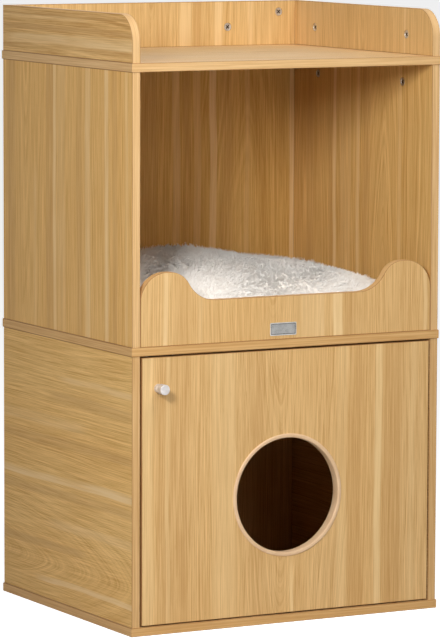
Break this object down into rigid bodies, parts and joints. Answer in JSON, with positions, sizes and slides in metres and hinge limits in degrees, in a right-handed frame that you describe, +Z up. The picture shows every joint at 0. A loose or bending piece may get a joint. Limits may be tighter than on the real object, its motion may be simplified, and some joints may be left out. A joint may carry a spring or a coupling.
{
  "type": "cat litter box cabinet",
  "caption": "Two-storey pet cabinet: closed tray compartment with an inset door and round entrance, open cushioned niche with a scalloped guard, and a low three-sided gallery on top.",
  "frame": {"origin": "middle of the bottom board's underside, on the floor", "axes": "+Z up, -Y towards the front where the door and the niche open, +X to the right seen from the front"},
  "size_m": [0.6, 0.525, 1.045],
  "materials": {
    "bottom_board": "oak-look melamine laminate on particle board, satin, with matching edge bands",
    "middle_board": "oak-look melamine laminate on particle board, satin, with matching edge bands",
    "top_board": "oak-look melamine laminate on particle board, satin, with matching edge bands",
    "lower_left_side": "oak-look melamine laminate on particle board, satin, with matching edge bands",
    "lower_right_side": "oak-look melamine laminate on particle board, satin, with matching edge bands",
    "lower_back_panel": "oak-look melamine laminate on particle board, satin, with matching edge bands",
    "upper_left_side": "oak-look melamine laminate on particle board, satin, with matching edge bands",
    "upper_right_side": "oak-look melamine laminate on particle board, satin, with matching edge bands",
    "upper_back_panel": "oak-look melamine laminate on particle board, satin, with matching edge bands",
    "gallery_left_rail": "oak-look melamine laminate on particle board, satin, with matching edge bands",
    "gallery_right_rail": "oak-look melamine laminate on particle board, satin, with matching edge bands",
    "gallery_back_rail": "oak-look melamine laminate on particle board, satin, with matching edge bands",
    "bed_guard": "oak-look melamine laminate on particle board, satin, with matching edge bands",
    "door": "oak-look melamine laminate on particle board, satin, with matching edge bands",
    "trim_plastic": "pale pinkish beige flexible edge trim",
    "knob_metal": "satin nickel",
    "zinc_metal": "zinc plated steel and zinc casting",
    "catch_plastic": "brown moulded plastic",
    "magnet": "ferrite magnet between steel pole plates",
    "plush": "white long-pile plush"
  },
  "bodies": {
    "cabinet": {"bottom_board": "bottom_board", "middle_board": "middle_board", "top_board": "top_board", "lower_left_side": "lower_left_side", "lower_right_side": "lower_right_side", "lower_back_panel": "lower_back_panel", "upper_left_side": "upper_left_side", "upper_right_side": "upper_right_side", "upper_back_panel": "upper_back_panel", "gallery_left_rail": "gallery_left_rail", "gallery_right_rail": "gallery_right_rail", "gallery_back_rail": "gallery_back_rail", "bed_guard": "bed_guard", "lower_hinge_arm": "zinc_metal", "lower_hinge_plate": "zinc_metal", "lower_plate_screw_low": "zinc_metal", "lower_plate_screw_high": "zinc_metal", "upper_hinge_arm": "zinc_metal", "upper_hinge_plate": "zinc_metal", "upper_plate_screw_low": "zinc_metal", "upper_plate_screw_high": "zinc_metal", "catch_case": "catch_plastic", "catch_magnet": "magnet", "catch_screw_left": "zinc_metal", "catch_screw_right": "zinc_metal", "rail_left_front_cam": "zinc_metal", "rail_left_front_bolt": "zinc_metal", "rail_left_rear_cam": "zinc_metal", "rail_left_rear_bolt": "zinc_metal", "rail_right_front_cam": "zinc_metal", "rail_right_front_bolt": "zinc_metal", "rail_right_rear_cam": "zinc_metal", "rail_right_rear_bolt": "zinc_metal", "side_left_front_cam": "zinc_metal", "side_left_front_bolt": "zinc_metal", "side_left_rear_cam": "zinc_metal", "side_left_rear_bolt": "zinc_metal", "side_right_front_cam": "zinc_metal", "side_right_front_bolt": "zinc_metal", "side_right_rear_cam": "zinc_metal", "side_right_rear_bolt": "zinc_metal", "rail_back_left_cam": "zinc_metal", "rail_back_left_bolt": "zinc_metal", "rail_back_right_cam": "zinc_metal", "rail_back_right_bolt": "zinc_metal", "rail_corner_left_cam": "zinc_metal", "rail_corner_left_bolt": "zinc_metal", "rail_corner_right_cam": "zinc_metal", "rail_corner_right_bolt": "zinc_metal"},
    "door": {"door": "door", "door_hole_trim": "trim_plastic", "knob": "knob_metal", "knob_screw": "zinc_metal", "lower_hinge_cup": "zinc_metal", "lower_hinge_pin": "knob_metal", "upper_hinge_cup": "zinc_metal", "upper_hinge_pin": "knob_metal", "catch_strike": "zinc_metal", "strike_screw": "zinc_metal"},
    "cushion": {"cushion": "plush"}
  },
  "joints": [
    {"name": "door_hinge", "type": "hinge", "parent": "cabinet", "child": "door", "pos_m": [0.267, -0.241, 0.2445], "axis": [0, 0, 1], "range_deg": [0, 95]},
    {"name": "cushion_lift", "type": "slide", "parent": "cabinet", "child": "cushion", "axis": [0, 0, 1], "range_m": [0, 0.2]}
  ]
}
